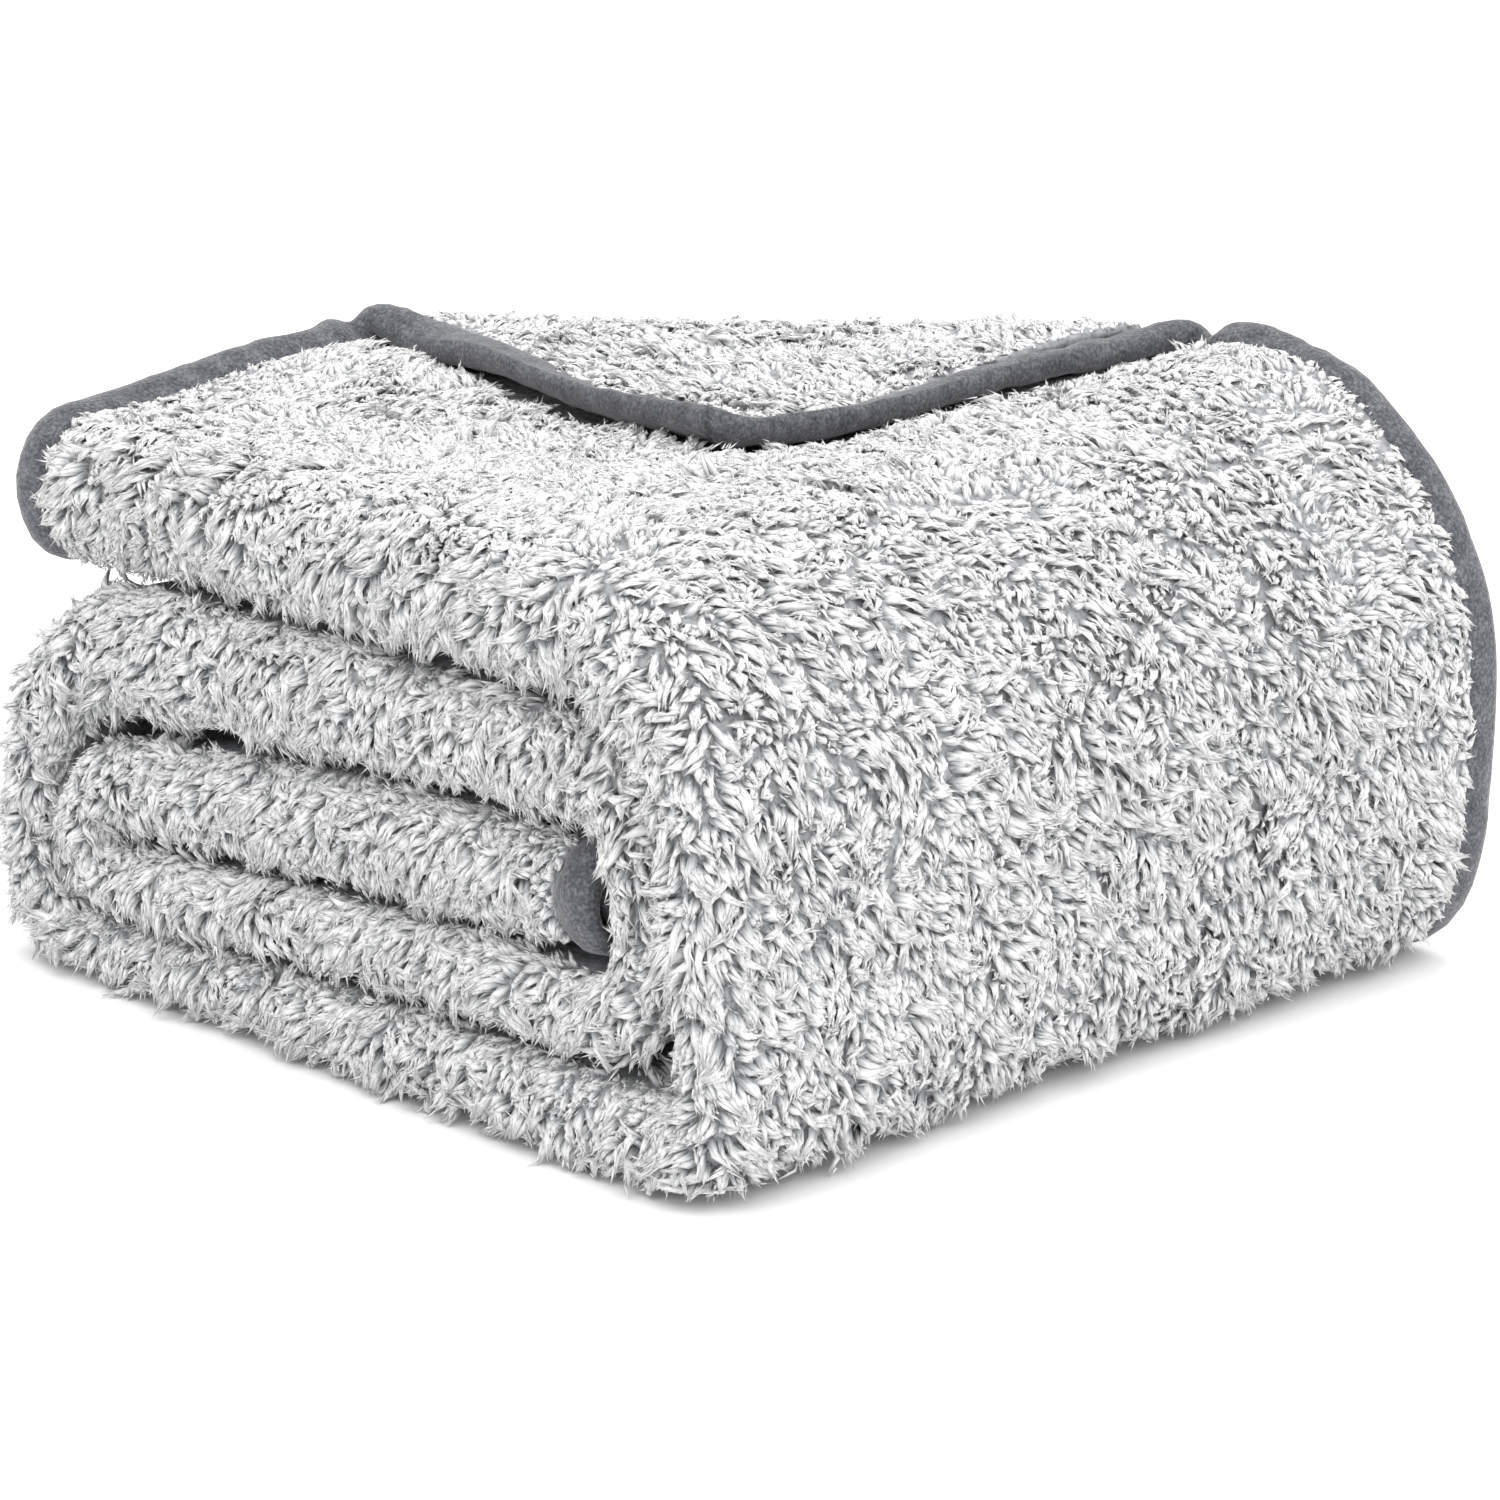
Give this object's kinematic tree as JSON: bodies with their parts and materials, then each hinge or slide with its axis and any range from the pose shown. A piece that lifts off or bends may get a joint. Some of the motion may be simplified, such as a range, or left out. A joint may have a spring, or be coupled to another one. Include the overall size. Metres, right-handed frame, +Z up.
{
  "type": "folded throw blanket",
  "caption": "Double-sided long-pile fleece throw with a dark bound edge, folded and wound into a soft square stack with one corner turned back.",
  "frame": {"origin": "middle of the stack's footprint, on the surface it rests on", "axes": "+X towards the wound face, -Y towards the smooth folds of the strip, +Z up"},
  "size_m": [0.34, 0.333, 0.1928],
  "materials": {
    "pile": "long frosted pile, near-white tips on grey roots",
    "tape": "short velour tape, matt"
  },
  "bodies": {
    "root": {"fleece_cloth": "pile", "binding_outer_end": "tape", "binding_inner_end": "tape", "binding_outer_side": "tape", "binding_inner_side": "tape"}
  },
  "joints": []
}
